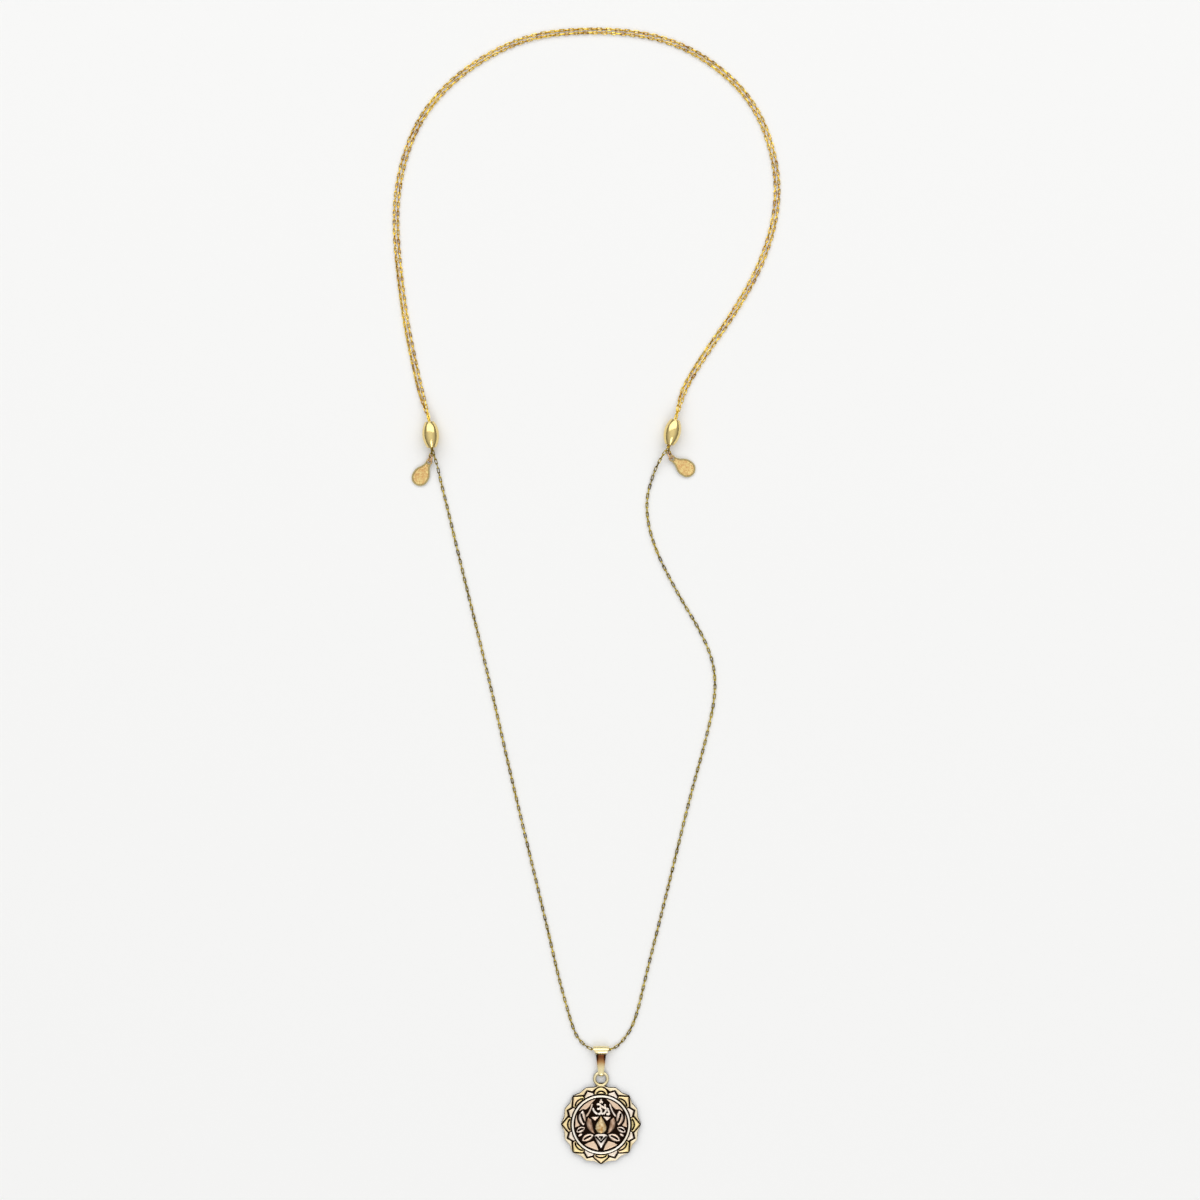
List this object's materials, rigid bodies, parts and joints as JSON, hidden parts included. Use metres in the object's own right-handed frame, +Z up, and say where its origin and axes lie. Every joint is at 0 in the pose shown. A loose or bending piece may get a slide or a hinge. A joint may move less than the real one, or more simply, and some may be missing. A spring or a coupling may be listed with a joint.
{
  "type": "necklace",
  "caption": "Adjustable necklace laid flat: a round lotus medallion on a folded bail and a fine chain that runs doubled over the back of the neck between olive slider beads.",
  "frame": {"origin": "centre of the bounding box at its bottom, on the surface that the necklace lies on", "axes": "+Y from the medallion to the back of the neck, +Z up from the surface, the way that the medallion's face looks, and +X to the right as seen from above"},
  "size_m": [0.1242, 0.3635, 0.0054],
  "materials": {
    "medallion_brass": "cast, with darkened recesses",
    "bail_brass": "polished",
    "chain_brass": "bright drawn wire",
    "bead_brass": "polished",
    "tag_brass": "satin"
  },
  "bodies": {
    "root": {"medallion": "medallion_brass", "bail": "bail_brass", "chain_left": "chain_brass", "chain_right": "chain_brass", "bead_left": "bead_brass", "bead_right": "bead_brass", "jump_ring_left": "chain_brass", "jump_ring_right": "chain_brass", "tag_left": "tag_brass", "tag_right": "tag_brass"}
  },
  "joints": []
}
